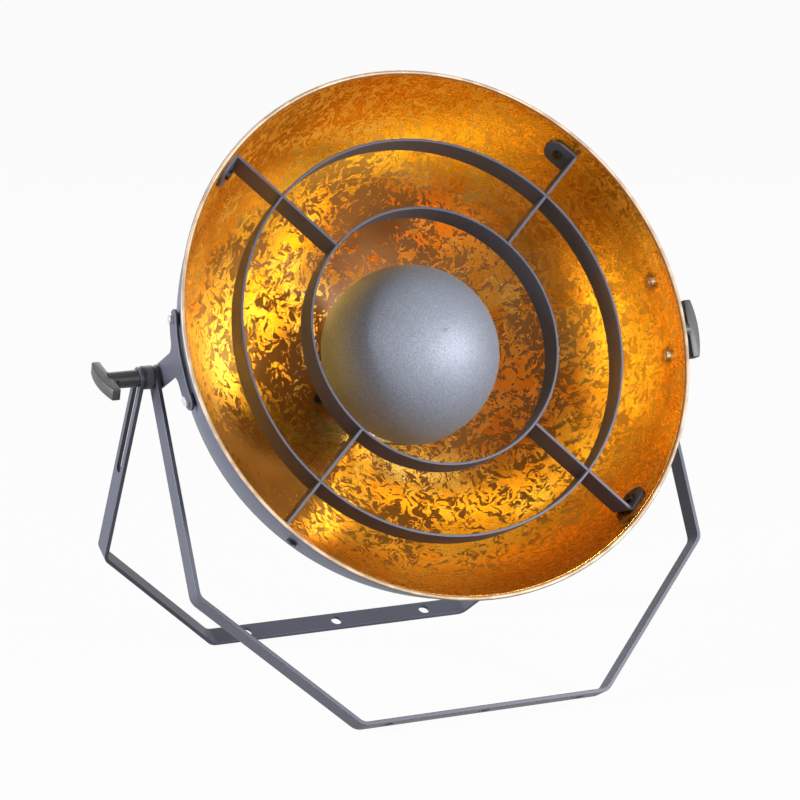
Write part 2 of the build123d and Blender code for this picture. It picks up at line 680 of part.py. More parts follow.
def build_nipple():
    """The hollow threaded tube that holds lampholder, stirrup and bowl together."""
    back = apex - NIPPLE_TAIL
    with BuildPart() as nipple:
        with BuildSketch(head_plane.offset(back)):
            Circle(NIPPLE_DIAMETER / 2)
            Circle(NIPPLE_BORE / 2, mode=Mode.SUBTRACT)
        extrude(amount=holder_back + NIPPLE_IN_HOLDER - back)
    save(nipple, "nipple")
    inner_reach = bowl_centre - sqrt(bowl_inside**2 - (LOCKNUT_FLATS / 2 / cos(radians(30))) ** 2)
    with BuildPart() as locknuts:
        with BuildSketch(head_plane.offset(apex - LOCKNUT_HEIGHT)):
            hexagon(LOCKNUT_FLATS)
            Circle(NIPPLE_DIAMETER / 2 + RUNNING_FIT, mode=Mode.SUBTRACT)
        extrude(amount=LOCKNUT_HEIGHT)
        with BuildSketch(head_plane.offset(inner_reach)):
            hexagon(LOCKNUT_FLATS)
            Circle(NIPPLE_DIAMETER / 2 + RUNNING_FIT, mode=Mode.SUBTRACT)
        extrude(amount=stirrup_back - inner_reach)
    save(locknuts, "nipple_locknuts")


def build_bulb():
    """The bulb's screw cap with its contact tip, and the thin glass globe on it."""
    with BuildPart() as screw_cap:
        with BuildSketch(head_plane.offset(bulb_tip)):
            Circle(BULB_TIP_DIAMETER / 2)
        extrude(amount=BULB_TIP_HEIGHT)
        with BuildSketch(head_plane.offset(bulb_shoulder)):
            Circle(BULB_CAP_DIAMETER / 2)
        extrude(amount=BULB_CAP_LENGTH)
    save(screw_cap, "bulb_screw_cap")
    radius = BULB_DIAMETER / 2
    neck = BULB_NECK_DIAMETER / 2
    centre = bulb_cap_front + BULB_CENTRE_UP - BULB_CAP_LENGTH
    with BuildPart() as glass:
        with BuildSketch(profile_plane):
            with BuildLine():
                dome = CenterArc((0, centre), radius, -30, 120)
                cheek = Line((neck, bulb_cap_front), (neck, bulb_cap_front + neck / 2))
                Spline(dome @ 0, cheek @ 1, tangents=(-(dome % 0), -(cheek % 1)))
                Polyline(dome @ 1, (0, bulb_cap_front), cheek @ 0)
            make_face()
            with BuildLine():
                inner_dome = CenterArc((0, centre), radius - BULB_GLASS, -30, 120)
                inner_neck = neck - BULB_GLASS
                inner_cheek = Line((inner_neck, bulb_cap_front), (inner_neck, bulb_cap_front + neck / 2))
                Spline(inner_dome @ 0, inner_cheek @ 1, tangents=(-(inner_dome % 0), -(inner_cheek % 1)))
                Polyline(inner_dome @ 1, (0, bulb_cap_front), inner_cheek @ 0)
            make_face(mode=Mode.SUBTRACT)
        revolve(axis=head_axis)
    save(glass, "bulb_glass")


# ---- rear housing ----

housing_radius = HOUSING_DIAMETER / 2
housing_inside_back = -housing_back + HOUSING_WALL
gland_height = apex - GLAND_BEHIND_APEX
gland_plane = Plane(origin=head_point(0, -housing_radius, gland_height), x_dir=(1, 0, 0), z_dir=-head_plane.y_dir)


def build_housing():
    """A drum behind the bowl, seated on its wall, with bosses, vents and a gland hole."""
    front = bowl_centre - sqrt(bowl_radius**2 - housing_radius**2) + HOUSING_WALL
    with BuildPart() as housing:
        with BuildSketch(head_plane.offset(-housing_back)):
            Circle(housing_radius)
        extrude(amount=front + housing_back)
        fillet(housing.faces().sort_by(head_axis)[0].edges(), HOUSING_CORNER)
        offset(amount=-HOUSING_WALL, openings=housing.faces().sort_by(head_axis)[-1])
        with BuildSketch(head_plane.offset(housing_inside_back - HOUSING_WALL / 2)):
            with GridLocations(HOUSING_SCREW_PITCH, 1, 2, 1):
                Circle(HOUSING_BOSS_DIAMETER / 2)
        extrude(amount=front - housing_inside_back)
        with BuildSketch(head_plane.offset(apex - HOUSING_SCREW_GRIP)):
            with GridLocations(HOUSING_SCREW_PITCH, 1, 2, 1):
                Circle(SCREW_DIAMETER / 2 + RUNNING_FIT)
        extrude(amount=HOUSING_DEPTH, mode=Mode.SUBTRACT)
        for index in range(VENT_COUNT):
            angle = 360 / VENT_COUNT * (index + 0.5)
            with BuildSketch(radial_plane(angle, apex - VENT_BEHIND_APEX, housing_radius - 2 * HOUSING_WALL)):
                SlotOverall(VENT_LENGTH, VENT_WIDTH, rotation=90)
            extrude(amount=4 * HOUSING_WALL, mode=Mode.SUBTRACT)
        with BuildSketch(gland_plane):
            Circle(GLAND_HOLE / 2 + RUNNING_FIT)
        extrude(amount=2 * HOUSING_WALL, both=True, mode=Mode.SUBTRACT)
        with Locations(head_point(0, 0, bowl_centre)):
            Sphere(bowl_radius, mode=Mode.SUBTRACT)
    save(housing, "rear_housing")


def build_housing_screws():
    """Two dark screws from inside the bowl into the housing's bosses."""
    reach = HOUSING_SCREW_PITCH / 2 + SCREW_HEAD_DIAMETER / 2
    seat = bowl_centre - sqrt(bowl_inside**2 - reach**2)
    with BuildPart() as screws:
        with BuildSketch(head_plane.offset(seat)):
            with GridLocations(HOUSING_SCREW_PITCH, 1, 2, 1):
                Circle(SCREW_HEAD_DIAMETER / 2)
        extrude(amount=SCREW_HEAD_HEIGHT)
        with BuildSketch(head_plane.offset(seat)):
            with GridLocations(HOUSING_SCREW_PITCH, 1, 2, 1):
                Circle(SCREW_DIAMETER / 2)
        extrude(amount=-HOUSING_SCREW_GRIP)
        with BuildSketch(head_plane.offset(seat + SCREW_HEAD_HEIGHT)):
            with GridLocations(HOUSING_SCREW_PITCH, 1, 2, 1):
                hexagon(DRIVE_SOCKET)
        extrude(amount=-DRIVE_DEPTH, mode=Mode.SUBTRACT)
    save(screws, "housing_screws")


def build_gland():
    """The cable gland on the underside of the housing, with its domed nut and locknut."""
    with BuildPart() as body:
        with BuildSketch(gland_plane):
            hexagon(GLAND_FLATS)
        extrude(amount=GLAND_COLLAR)
        with BuildSketch(gland_plane.offset(-HOUSING_WALL - GLAND_INSIDE)):
            Circle(GLAND_HOLE / 2)
        extrude(amount=HOUSING_WALL + GLAND_INSIDE + GLAND_COLLAR + GLAND_NUT_HEIGHT / 2)
        with BuildSketch(gland_plane.offset(-HOUSING_WALL - GLAND_INSIDE)):
            Circle(GLAND_BORE / 2)
        extrude(amount=2 * housing_radius, mode=Mode.SUBTRACT)
    save(body, "cable_gland")
    with BuildPart() as cap_nut:
        with BuildSketch(gland_plane.offset(GLAND_COLLAR)):
            hexagon(GLAND_FLATS)
        extrude(amount=GLAND_NUT_HEIGHT)
        chamfer(cap_nut.faces().sort_by(Axis(pivot, gland_plane.z_dir))[-1].edges(), GLAND_NUT_HEIGHT / 5)
        with BuildSketch(gland_plane.offset(GLAND_COLLAR)):
            Circle(GLAND_HOLE / 2 + RUNNING_FIT)
        extrude(amount=GLAND_NUT_HEIGHT / 2, mode=Mode.SUBTRACT)
        with BuildSketch(gland_plane.offset(GLAND_COLLAR)):
            Circle(GLAND_BORE / 2)
        extrude(amount=GLAND_NUT_HEIGHT, mode=Mode.SUBTRACT)
    save(cap_nut, "gland_cap_nut")
    flat_depth = housing_radius - sqrt((housing_radius - HOUSING_WALL) ** 2 - (GLAND_FLATS / 2 / cos(radians(30))) ** 2)
    with BuildPart() as locknut:
        with BuildSketch(gland_plane.offset(-flat_depth)):
            hexagon(GLAND_FLATS)
            Circle(GLAND_HOLE / 2 + RUNNING_FIT, mode=Mode.SUBTRACT)
        extrude(amount=-GLAND_LOCKNUT_HEIGHT)
    save(locknut, "gland_locknut")


def build_terminal_block():
    """A three pole terminal block on the housing's floor."""
    length, width, height = BLOCK_SIZE
    floor = head_plane.offset(housing_inside_back)
    with BuildPart() as block:
        with BuildSketch(floor):
            with Locations((0, housing_radius / 3)):
                Rectangle(length, width)
        extrude(amount=height)
        with BuildSketch(floor.offset(height)):
            with Locations((0, housing_radius / 3)):
                with GridLocations(length / BLOCK_POLES, width / 2, BLOCK_POLES, 2):
                    Circle(BLOCK_SCREW_DIAMETER / 2)
        extrude(amount=-height / 2, mode=Mode.SUBTRACT)
    save(block, "terminal_block")


bolt_hole = BOLT_DIAMETER + 2 * RUNNING_FIT
bolt_slot = BOLT_DIAMETER + 2 * SLOT_PLAY
build_yoke("front_yoke", front_outer, FRONT_LEG, FRONT_BRACE_RUN, FRONT_LEAN, 0, bolt_hole)
build_yoke("rear_yoke", rear_outer, REAR_LEG, REAR_BRACE_RUN, -rear_lean, SLOT_TRAVEL, bolt_slot)
build_stack_ring("inner_washers", front_inner - INNER_WASHER, INNER_WASHER)
build_stack_ring("thin_washers", thin_washer_in, THIN_WASHER)
build_stack_ring("spacer_rings", spacer_in, SPACER_RING)
build_stack_ring("outer_washers", outer_washer_in, OUTER_WASHER)
build_pivot_bolts()
build_knob(-1, "left", LEFT_WING_ANGLE)
build_knob(1, "right", RIGHT_WING_ANGLE)
build_bowl()
build_bracket(-1, "left")
build_bracket(1, "right")
build_bracket_spacers()
build_bracket_screws()
build_nuts([radial_plane(angle, arm_ahead, bracket_outer) for angle in bracket_screws], "bracket_nuts")
build_ring("grille_outer_ring", OUTER_RING_RADIUS, spoke_angles)
build_ring("grille_inner_ring", INNER_RING_RADIUS, [])
for index in range(SPOKE_COUNT):
    build_spoke(index)
build_grille_screws()
build_nuts([wall_plane(angle, grille_middle, bowl_radius) for angle in foot_angles], "grille_nuts")
build_cap()
build_stirrup()
build_lampholder()
build_nipple()
build_bulb()
build_housing()
build_housing_screws()
build_gland()
build_terminal_block()
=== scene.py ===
# %% [markdown]
# # A tabletop searchlight lamp
# This lesson dresses a finished CAD model of a searchlight lamp: a spun bowl with gold leaf
# inside, a grille of flat strap, a domed cap in front of the bulb, and two bent strap yokes
# that meet at one pivot. The CAD solids already have the right size and place, so they stay
# as they are. What is missing is the surface: paint with a fine grain, crumpled leaf, moulded
# nylon, and a few pieces that are easier to shape here than in CAD. Everything is in metres,
# with the table at Z = 0 and the bowl facing -Y.

# %% Load the lamp's frame
import json
from math import asin, cos, pi, radians, sin, sqrt

import bmesh
import bpy
from mathutils import Matrix, Vector, noise


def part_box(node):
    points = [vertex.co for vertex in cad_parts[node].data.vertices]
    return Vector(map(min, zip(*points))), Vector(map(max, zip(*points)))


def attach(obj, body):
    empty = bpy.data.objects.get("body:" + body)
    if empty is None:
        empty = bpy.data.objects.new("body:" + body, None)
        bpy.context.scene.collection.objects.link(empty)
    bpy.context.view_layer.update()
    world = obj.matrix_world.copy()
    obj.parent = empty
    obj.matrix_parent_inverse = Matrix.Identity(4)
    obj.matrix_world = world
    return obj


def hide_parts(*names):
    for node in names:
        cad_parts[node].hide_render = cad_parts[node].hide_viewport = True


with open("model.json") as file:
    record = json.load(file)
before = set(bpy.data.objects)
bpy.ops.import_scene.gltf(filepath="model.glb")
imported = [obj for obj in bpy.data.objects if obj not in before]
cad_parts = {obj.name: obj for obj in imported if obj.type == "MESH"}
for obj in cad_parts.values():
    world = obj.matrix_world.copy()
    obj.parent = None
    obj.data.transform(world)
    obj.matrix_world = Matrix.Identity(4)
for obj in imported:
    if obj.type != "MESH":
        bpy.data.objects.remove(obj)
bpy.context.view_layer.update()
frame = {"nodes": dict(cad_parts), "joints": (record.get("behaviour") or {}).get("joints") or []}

nodes = frame["nodes"]
joints = {joint["name"]: joint for joint in frame["joints"]}

# %% [markdown]
# The head tilts about the pivot, and the bulb turns about the bowl's own axis, so the two
# joints say where the bowl is and which way it faces. Most of what follows is round that axis.
# It is simplest to describe it in the head's own frame: x to the side, y up across the bowl
# and z out along its axis. One matrix takes any point of that frame to its place in the lamp.

# %% Find the head's own frame
MM = 0.001
pivot = Vector(joints["head_tilt"]["pos_m"])
head_z = Vector(joints["bulb_turn"]["axis"]).normalized()
head_x = Vector((1, 0, 0))
head_y = head_z.cross(head_x)
to_lamp = Matrix.Translation(pivot) @ Matrix((head_x, head_y, head_z)).transposed().to_4x4()
from_lamp = to_lamp.inverted()
print("pivot", [round(value, 4) for value in pivot])
print("bowl axis", [round(value, 4) for value in head_z])


def head_span(name):
    """Lowest and highest corner of a CAD node, measured in the head's own frame."""
    points = [from_lamp @ vertex.co for vertex in nodes[name].data.vertices]
    low = Vector(min(point[axis] for point in points) for axis in range(3))
    high = Vector(max(point[axis] for point in points) for axis in range(3))
    return low, high


bowl_low, bowl_high = head_span("bowl")
RIM_RADIUS = bowl_high.x
RIM_AHEAD = bowl_high.z
APEX = bowl_low.z
print("rim radius %.4f, rim ahead of pivot %.4f, apex behind %.4f" % (RIM_RADIUS, RIM_AHEAD, APEX))

# %% [markdown]
# The bowl's section is an arc of a circle whose centre lies on the axis, ahead of the pivot.
# The rim's inner edge and the apex give its radius: a chord and its height fix a circle.

# %% Find the ball the bowl is part of
BOWL_SHEET = 1.2 * MM
RIM_BEAD = 3.2 * MM
sheet_radius = RIM_RADIUS - RIM_BEAD / 2 - BOWL_SHEET / 2
depth = RIM_AHEAD - APEX
ball_radius = (sheet_radius**2 + depth**2) / (2 * depth)
ball_centre = APEX + ball_radius
print("bowl ball radius %.4f, centre ahead of pivot %.4f" % (ball_radius, ball_centre))

# %% [markdown]
# ## A short language for materials
# A material is a graph of nodes, and a formula in such a graph is hard to read when every
# plus sign is four lines long. A small class wraps a node's output and teaches Python's own
# operators to add Math nodes, so `1 - mask` or `speck * 0.3 + grain` can be written as it is
# thought. A second class holds one graph of nodes and has a single method that adds any other
# node: its type, its settings, and what goes into its sockets.


# %% Sockets that can be added and multiplied
class Socket:
    """One output of a shader node, which Python's operators turn into Math nodes."""

    def __init__(self, graph, output):
        self.graph = graph
        self.output = output

    def math(self, operation, *values):
        return self.graph.add("ShaderNodeMath", {"operation": operation}, dict(enumerate(values)))

    def __add__(self, other):
        return self.math("ADD", self, other)

    def __radd__(self, other):
        return self.math("ADD", other, self)

    def __sub__(self, other):
        return self.math("SUBTRACT", self, other)

    def __rsub__(self, other):
        return self.math("SUBTRACT", other, self)

    def __mul__(self, other):
        return self.math("MULTIPLY", self, other)

    def __rmul__(self, other):
        return self.math("MULTIPLY", other, self)

    def most(self, other):
        """The larger of two values."""
        return self.math("MAXIMUM", self, other)

    def step(self, low, high):
        """Rises smoothly from 0 at low to 1 at high."""
        settings = {"interpolation_type": "SMOOTHSTEP"}
        sockets = {0: self, 1: low, 2: high, 3: 0.0, 4: 1.0}
        return self.graph.add("ShaderNodeMapRange", settings, sockets)


# %% A graph of nodes, and a finish made of one
class Graph:
    """The nodes of a material or of the world, in the making."""

    def __init__(self, owner):
        owner.use_nodes = True
        self.owner = owner
        self.tree = owner.node_tree
        self.tree.nodes.clear()

    def add(self, kind, settings=None, sockets=None, output=0):
        """Adds a node, sets its settings, fills its sockets and gives back one output."""
        node = self.tree.nodes.new(kind)
        for key, value in (settings or {}).items():
            setattr(node, key, value)
        for key, value in (sockets or {}).items():
            if isinstance(value, Socket):
                self.tree.links.new(value.output, node.inputs[key])
            else:
                node.inputs[key].default_value = value
        return Socket(self, node.outputs[output] if node.outputs else None)


class Finish(Graph):
    """A material whose patterns lie in its object's own space."""

    def __init__(self, name):
        super().__init__(bpy.data.materials.new(name))
        self.place = self.add("ShaderNodeTexCoord", output="Object")

    def noise(self, scale, place=None, detail=2.0, roughness=0.5, output=0):
        """Soft noise between 0 and 1, scale features to the metre."""
        sockets = {"Vector": place or self.place, "Scale": scale}
        sockets.update({"Detail": detail, "Roughness": roughness})
        return self.add("ShaderNodeTexNoise", None, sockets, output)

    def cells(self, scale, place=None, detail=0.0, roughness=0.5):
        """A random value for each cell of a pattern, scale cells to the metre."""
        sockets = {"Vector": place or self.place, "Scale": scale}
        sockets.update({"Detail": detail, "Roughness": roughness})
        colour = self.add("ShaderNodeTexVoronoi", None, sockets, output="Color")
        return self.add("ShaderNodeSeparateColor", None, {0: colour}, output=0)

    def vector(self, operation, *values, output="Vector"):
        """Vector Math on places, as the operators are for numbers."""
        sockets = dict(enumerate(values))
        return self.add("ShaderNodeVectorMath", {"operation": operation}, sockets, output)

    def coordinate(self, place, axis):
        """One coordinate of a place: axis 0, 1 or 2 for x, y or z."""
        return self.add("ShaderNodeSeparateXYZ", None, {0: place}, output=axis)

    def squeezed(self, place, factors):
        """A place scaled by a factor along each axis."""
        return self.add("ShaderNodeMapping", None, {"Vector": place, "Scale": factors})

    def mix(self, factor, first, second):
        """A colour between two colours."""
        sockets = {0: factor, 6: first, 7: second}
        return self.add("ShaderNodeMix", {"data_type": "RGBA"}, sockets, output=2)

    def bump(self, height, distance, strength):
        """A surface normal from a height between 0 and 1, distance metres deep."""
        sockets = {"Strength": strength, "Distance": distance, "Height": height}
        return self.add("ShaderNodeBump", None, sockets)

    def done(self, **sockets):
        """Joins a Principled BSDF to the output; A_B names the socket 'A B'."""
        named = {key.replace("_", " "): value for key, value in sockets.items()}
        shader = self.add("ShaderNodeBsdfPrincipled", None, named)
        self.add("ShaderNodeOutputMaterial", None, {"Surface": shader})
        print("finish:", self.owner.name, "-", len(self.tree.nodes), "nodes")
        return self.owner


def rgb(red, green, blue):
    """A colour with full alpha."""
    return (red, green, blue, 1.0)


def shade(colour, share=1.0, lift=0.0):
    """A finish's colour, made lighter or darker by a share."""
    return rgb(*(min(1.0, part * share + lift) for part in colour))


# %% [markdown]
# ## Powder coat
# The stand, the outside of the bowl and the grille are steel with an anthracite powder coat.
# Powder melts into a skin of tiny rounded grains, about half a millimetre wide, and carries a
# little metal flake that makes it shine softly rather than sharply. Three noises make it: a
# fine one for the grains, used as bump and as small changes of roughness, a finer one for
# sparks of flake, and a slow one so that a broad face isn't perfectly even.


# %% Powder-coated steel
GRAINS = 1500.0
SPARKS = 4200.0
CLOUDS = 18.0


def powder_grain(paint):
    """The rounded grains of melted powder."""
    return paint.noise(GRAINS, detail=3.0, roughness=0.6)


def powder_coat(name, colour, flake, rough):
    """Fine-grained anthracite paint; flake is how metallic it is."""
    paint = Finish(name)
    grain = powder_grain(paint)
    sparks = paint.noise(SPARKS, detail=1.0).step(0.60, 0.74)
    tone = paint.mix(paint.noise(CLOUDS), shade(colour, 0.82), shade(colour))
    return paint.done(
        Base_Color=paint.mix(sparks * 0.55, tone, shade(colour, 1.9)),
        Metallic=flake,
        Specular_IOR_Level=0.30,
        Roughness=grain * 0.16 + (rough - 0.08),
        Normal=paint.bump(grain, 0.10 * MM, 0.28),
    )


stand_paint = powder_coat("stand_powder_coat", (0.037, 0.039, 0.055), flake=0.15, rough=0.45)
grille_paint = powder_coat("grille_powder_coat", (0.048, 0.048, 0.066), flake=0.20, rough=0.44)

# %% [markdown]
# ## Gold leaf
# Leaf is laid in torn sheets thinner than paper, over red-brown size. Deep in the bowl it was
# pressed on crumpled, so bright shards lie beside torn places where the size shows. An image
# could show this, but it would stretch over a ball, where noise in the bowl's own space fits
# every point. Each large Voronoi cell is one sheet. Its value turns the place about a slanted
# axis, and a fractal noise that is squeezed along one axis of that turned place gives shards
# that lie another way in every sheet. Smaller cells make the shards' edges shiver.


# %% Torn sheets of leaf
SHEETS = 58.0
SHEET_EDGE_NOISE = 90.0
SHEET_EDGE_WANDER = 0.014
SHEET_TURN_AXIS = (0.36, 0.48, 0.80)
SHEET_TURN = 6.28
SHARD_SQUEEZE = (95.0, 240.0, 95.0)
SHIVERS = 150.0
SHIVER_SQUEEZE = (0.8, 2.3, 0.8)
SHIVER_SHARE = 0.26


def head_place(finish):
    """Object coordinates turned into the head's own frame."""
    turn = from_lamp.to_euler()
    move = from_lamp.to_translation()
    sockets = {"Vector": finish.place, "Location": move, "Rotation": turn}
    return finish.add("ShaderNodeMapping", None, sockets)


def torn_sheets(leaf, place):
    """A value for each sheet, and a ragged height whose shards turn with the sheets."""
    wander = leaf.noise(SHEET_EDGE_NOISE, place, detail=3.0, output="Color")
    bent = leaf.vector("ADD", place, leaf.vector("MULTIPLY", wander, (SHEET_EDGE_WANDER,) * 3))
    sheet = leaf.cells(SHEETS, bent)
    sockets = {"Vector": bent, "Center": (0.0, 0.0, 0.0), "Axis": SHEET_TURN_AXIS}
    sockets["Angle"] = sheet * SHEET_TURN
    turned = leaf.add("ShaderNodeVectorRotate", {"rotation_type": "AXIS_ANGLE"}, sockets)
    shard = leaf.noise(1.0, leaf.squeezed(turned, SHARD_SQUEEZE), detail=8.0, roughness=0.70)
    shivered = leaf.squeezed(turned, SHIVER_SQUEEZE)
    shiver = leaf.cells(SHIVERS, shivered, detail=1.0, roughness=0.6)
    return sheet, shard + (shiver - 0.5) * SHIVER_SHARE


# %% [markdown]
# One crisp step on the ragged height leaves torn places. A slow noise and two worn places
# lower that step, so the tears come in drifts. Each place is a point in the head's own frame,
# the distance up to which it is full, and the distance at which it ends.

# %% Worn places, darker places and painted shade
DRIFTS = 11.0
DRIFT_WEAR = 0.6
WORN_PLACES = [
    ((-0.105, -0.065, -0.075), 0.01, 0.075),
    ((0.02, 0.115, -0.06), 0.01, 0.06),
]
# a place where the leaf is darker, in streaks along the brush marks
DARKER_PATCH_PLACE = ((0.142, 0.098, 0.010), 0.01, 0.095)
# a low place at the left, where the leaf is darkened as painted shade
SHADED_LOW_PLACE = ((-0.086, -0.140, -0.035), 0.02, 0.10)
# the place of a bracket screw, round which the leaf is darkened as the painted shade of a dimple
SCREW_SHADE_PLACE = ((0.1911, 0.0291, 0.0411), 0.0045, 0.0100)


def near(finish, place, point, inner, outer):
    """1 within inner metres of a point, falling to 0 at outer metres."""
    distance = finish.vector("DISTANCE", place, point, output="Value")
    return 1.0 - distance.step(inner, outer)


def worn_leaf(leaf, place):
    """How worn the leaf is, from 0 to 1."""
    worn = leaf.noise(DRIFTS, place).step(0.40, 0.62) * DRIFT_WEAR
    for spot in WORN_PLACES:
        worn = worn.most(near(leaf, place, *spot))
    return worn


# %% [markdown]
# Nearer the rim the leaf was brushed flat, and the marks run round the bowl: a noise that is
# squeezed along the bowl's axis is long round the rim. One place is darker, in streaks along the
# brush marks. One low place at the left and the lowest part of the rim are darkened as painted
# shade, and grit of size shows between the brush marks. Round each bracket screw the leaf is
# darkened as the painted shade of a dimple. The brackets are fixed with a screw on each side and
# its mirror below, so one point is enough for all four, once every coordinate is made positive.

# %% Crumpled gold leaf over brown size
DEEP_ENDS = (-0.055, 0.020)
TORN_ABOVE = (0.500, 0.508)
TORN_LIFT = 0.135
WEAR_LIFT = 0.260
BRUSH_SQUEEZE = (14.0, 14.0, 260.0)
HAZES = 24.0
DUSTS = 1300.0
GRITS = 700.0
# the lowest part of the rim, where the leaf is darkened as painted shade
SHADED_LOW_RIM = (-0.160, -0.080)

DEEP_LEAF = rgb(1.0, 0.580, 0.060)
DEEP_LEAF_PALE = rgb(1.0, 0.740, 0.160)
BRUSHED_LEAF = rgb(0.97, 0.550, 0.055)
BRUSHED_LEAF_DARK = rgb(0.80, 0.380, 0.025)
# the colour of the painted shade on the low leaf
PAINTED_SHADE_LEAF = rgb(0.60, 0.230, 0.008)
DARKER_PATCH_LEAF = rgb(0.44, 0.165, 0.010)
RIM_SIZE = rgb(0.40, 0.120, 0.005)
DEEP_SIZE = rgb(0.110, 0.030, 0.002)
# the colour of the painted shade in the dimple round each bracket screw
SCREW_DIMPLE_SHADE = rgb(0.20, 0.060, 0.006)


def leafed(name):
    """Orange gold leaf with torn brown places."""
    leaf = Finish(name)
    place = head_place(leaf)
    deep = 1.0 - leaf.coordinate(place, 2).step(*DEEP_ENDS)
    sheet, ragged = torn_sheets(leaf, place)
    wear = worn_leaf(leaf, place) * WEAR_LIFT * (deep * 0.6 + 0.4)
    torn = (ragged + wear - TORN_LIFT).step(*TORN_ABOVE) * (deep * 0.58 + 0.38)

    smear = leaf.noise(1.0, leaf.squeezed(place, BRUSH_SQUEEZE), detail=3.0, roughness=0.6)
    haze = leaf.noise(HAZES, place, detail=3.0, roughness=0.6)
    brushed = (smear * 0.5 + haze * 0.5).step(0.40, 0.66)
    bright = leaf.mix(sheet, DEEP_LEAF, DEEP_LEAF_PALE)
    rubbed = leaf.mix(brushed, BRUSHED_LEAF, BRUSHED_LEAF_DARK)

    # painted shade: the leaf is darker low on the rim and at one low place at the left
    low = (1.0 - leaf.coordinate(place, 1).step(*SHADED_LOW_RIM)) * (1.0 - deep * 0.8)
    painted_shade = near(leaf, place, *SHADED_LOW_PLACE).most(low)
    darker_patch = near(leaf, place, *DARKER_PATCH_PLACE) * (smear * 0.7 + 0.5)
    leaf_under_shade = leaf.mix(painted_shade * 0.85, leaf.mix(deep, rubbed, bright), PAINTED_SHADE_LEAF)
    laid = leaf.mix(darker_patch * 0.95, leaf_under_shade, DARKER_PATCH_LEAF)

    dust = leaf.noise(DUSTS, place)
    grit = leaf.noise(GRITS, place, detail=3.0, roughness=0.7).step(0.52, 0.60) * (1.0 - deep)
    shown = leaf.mix(torn.most(grit * 0.45), laid, leaf.mix(deep, RIM_SIZE, DEEP_SIZE))
    # painted shade: the leaf is darkened round each bracket screw, where the dimple is
    dimple_shade = near(leaf, leaf.vector("ABSOLUTE", place), *SCREW_SHADE_PLACE)
    return leaf.done(
        Base_Color=leaf.mix(dimple_shade * 0.7, shown, SCREW_DIMPLE_SHADE),
        Metallic=1.0 - torn * 0.65 - deep * 0.04,
        Roughness=sheet * 0.05 + torn * 0.22 + dust * 0.05 + (0.19 - deep * 0.06),
        Coat_Weight=0.15,
        Coat_Roughness=0.22,
        Normal=leaf.bump(sheet * 0.25 + ragged * 0.40 + haze * 0.35, 1.0 * MM, 0.20),
    )


gold_leaf = leafed("gold_leaf_over_brown_size")

# %% [markdown]
# The bowl is one spun sheet, painted outside. Its rolled rim was wiped clean of paint along
# the front, so a thin pale line of scuffed metal runs round it, and the inner side of the
# sheet is brown with size where the leaf stops. The paint is one material for the whole node:
# how far a point lies ahead of the pivot, and how far from the centre of the bowl's ball,
# tell the rim's front and the inner side from the rest.


# %% Bowl paint with its wiped rim
RIM_FRONT = (RIM_AHEAD - 0.8 * MM, RIM_AHEAD - 0.5 * MM)
BOWL_INSIDE = (ball_radius - 0.8 * MM, ball_radius - 0.4 * MM)
SCUFFS = 60.0
BARE_RIM_DARK = rgb(0.22, 0.15, 0.09)
BARE_RIM = rgb(0.34, 0.25, 0.17)
BOWL_SIZE = rgb(0.16, 0.055, 0.012)


def bowl_coat(name, colour):
    """The stand's paint, with a pale wiped line along the rim's front."""
    paint = Finish(name)
    place = head_place(paint)
    reach = paint.vector("DISTANCE", place, (0.0, 0.0, ball_centre), output="Value")
    front = paint.coordinate(place, 2).step(*RIM_FRONT)
    inside = 1.0 - reach.step(*BOWL_INSIDE)
    grain = powder_grain(paint)
    scuff = paint.noise(SCUFFS, detail=3.0).step(0.42, 0.60)
    tone = paint.mix(grain, shade(colour, 0.85), shade(colour))
    coated = paint.mix(front, tone, paint.mix(scuff, BARE_RIM_DARK, BARE_RIM))
    return paint.done(
        Base_Color=paint.mix(inside, coated, BOWL_SIZE),
        Metallic=0.35 - front * 0.15,
        Specular_IOR_Level=0.40,
        Roughness=grain * 0.16 + 0.38,
        Normal=paint.bump(grain, 0.12 * MM, 0.55),
    )


bowl_paint = bowl_coat("bowl_powder_coat", (0.051, 0.056, 0.083))

# %% [markdown]
# The cap throws the bulb's light back into the bowl, so its inside is leafed as well, and only
# its outside is painted. The two sides of a sheet one millimetre thick are told apart by how
# far a point lies from the centre of the dome: behind that centre the skirt is a plain tube,
# so there only the distance from the axis counts.

# %% Cap paint with a leafed inside
CAP_SHEET = 1.0 * MM
CAP_FLAKES = 1900.0
CAP_LEAF = rgb(1.0, 0.60, 0.09)
CAP_LEAF_DARK = rgb(0.80, 0.36, 0.02)

cap_high = head_span("cap")[1]
cap_radius = cap_high.x
cap_centre = cap_high.z - cap_radius
print("cap radius %.4f, centre ahead of pivot %.4f" % (cap_radius, cap_centre))


def cap_coat(name, colour):
    """Light grey flake paint outside, gold leaf inside."""
    paint = Finish(name)
    place = head_place(paint)
    moved = paint.vector("SUBTRACT", place, (0.0, 0.0, cap_centre))
    ahead = paint.vector("MAXIMUM", moved, (-1.0, -1.0, 0.0))
    reach = paint.vector("LENGTH", ahead, output="Value")
    inside = 1.0 - reach.step(cap_radius - CAP_SHEET * 0.7, cap_radius - CAP_SHEET * 0.3)
    grain = powder_grain(paint)
    flakes = paint.noise(CAP_FLAKES, detail=1.5).step(0.35, 0.70)
    tone = paint.mix(flakes, shade(colour, 0.62), shade(colour, 1.25))
    crumple = paint.noise(120.0, place, detail=3.0, roughness=0.6)
    return paint.done(
        Base_Color=paint.mix(inside, tone, paint.mix(crumple, CAP_LEAF_DARK, CAP_LEAF)),
        Metallic=inside * 0.50 + 0.40,
        Specular_IOR_Level=0.28,
        Roughness=grain * 0.14 + (0.51 - inside * 0.26),
        Normal=paint.bump(grain, 0.16 * MM, 0.7),
    )


cap_paint = cap_coat("cap_flake_paint", (0.160, 0.175, 0.213))

